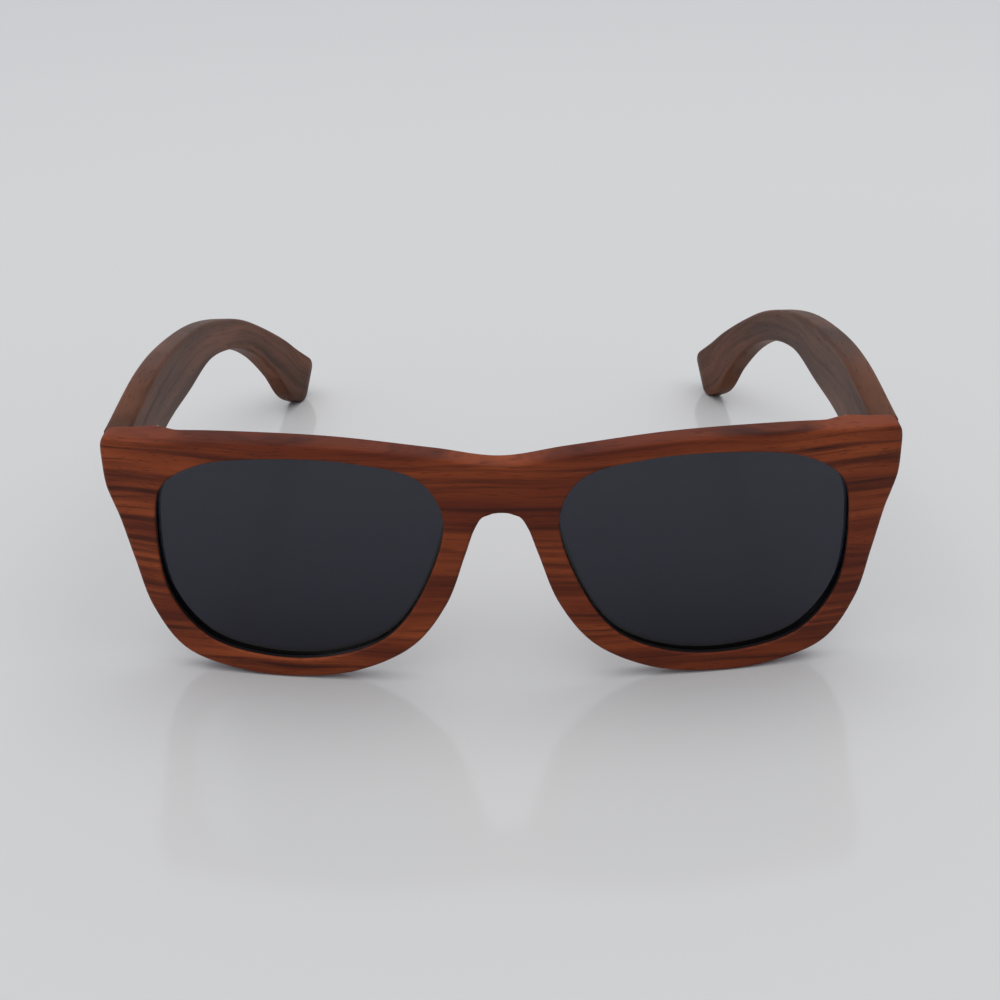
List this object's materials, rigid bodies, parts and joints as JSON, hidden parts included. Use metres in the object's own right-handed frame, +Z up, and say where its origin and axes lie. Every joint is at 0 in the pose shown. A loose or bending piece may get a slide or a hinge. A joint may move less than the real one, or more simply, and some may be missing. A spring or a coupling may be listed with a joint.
{
  "type": "wooden sunglasses",
  "caption": "Wooden sunglasses: a bowed one-piece hardwood front with dark inset lenses and bent hardwood temples that fold on sprung hinges",
  "frame": {"origin": "on the table, under the middle of the bounding box, midway between the two temples", "axes": "+X to the wearer's left, +Y back along the temples, +Z up"},
  "size_m": [0.1454, 0.1464, 0.0514],
  "materials": {
    "rosewood": "satin oiled",
    "smoke_lens": "gloss",
    "hinge_steel": "satin"
  },
  "bodies": {
    "front": {"front_frame": "rosewood", "left_lens": "smoke_lens", "right_lens": "smoke_lens", "left_front_leaf": "hinge_steel", "left_leaf_screws": "hinge_steel", "left_hinge_screw": "hinge_steel", "right_front_leaf": "hinge_steel", "right_leaf_screws": "hinge_steel", "right_hinge_screw": "hinge_steel"},
    "left_link": {"left_hinge_tongue": "hinge_steel", "left_spring_collar": "hinge_steel"},
    "left_arm": {"left_temple": "rosewood", "left_spring_case": "hinge_steel", "left_case_screws": "hinge_steel", "left_hinge_spring": "hinge_steel"},
    "right_link": {"right_hinge_tongue": "hinge_steel", "right_spring_collar": "hinge_steel"},
    "right_arm": {"right_temple": "rosewood", "right_spring_case": "hinge_steel", "right_case_screws": "hinge_steel", "right_hinge_spring": "hinge_steel"}
  },
  "joints": [
    {"name": "left_fold", "type": "hinge", "parent": "front", "child": "left_link", "pos_m": [0.06545, -0.0586, 0.04018], "axis": [0, 0, 1], "range_deg": [0, 84.5]},
    {"name": "left_spring_slide", "type": "slide", "parent": "left_link", "child": "left_arm", "axis": [0, 1, 0], "range_m": [0, 0.0016], "stiffness_N_per_m": 1500, "springref_m": -0.001, "deforming": ["left_hinge_spring"]},
    {"name": "right_fold", "type": "hinge", "parent": "front", "child": "right_link", "pos_m": [-0.06545, -0.0586, 0.04018], "axis": [0, 0, -1], "range_deg": [0, 77]},
    {"name": "right_spring_slide", "type": "slide", "parent": "right_link", "child": "right_arm", "axis": [0, 1, 0], "range_m": [0, 0.0016], "stiffness_N_per_m": 1500, "springref_m": -0.001, "deforming": ["right_hinge_spring"]}
  ]
}
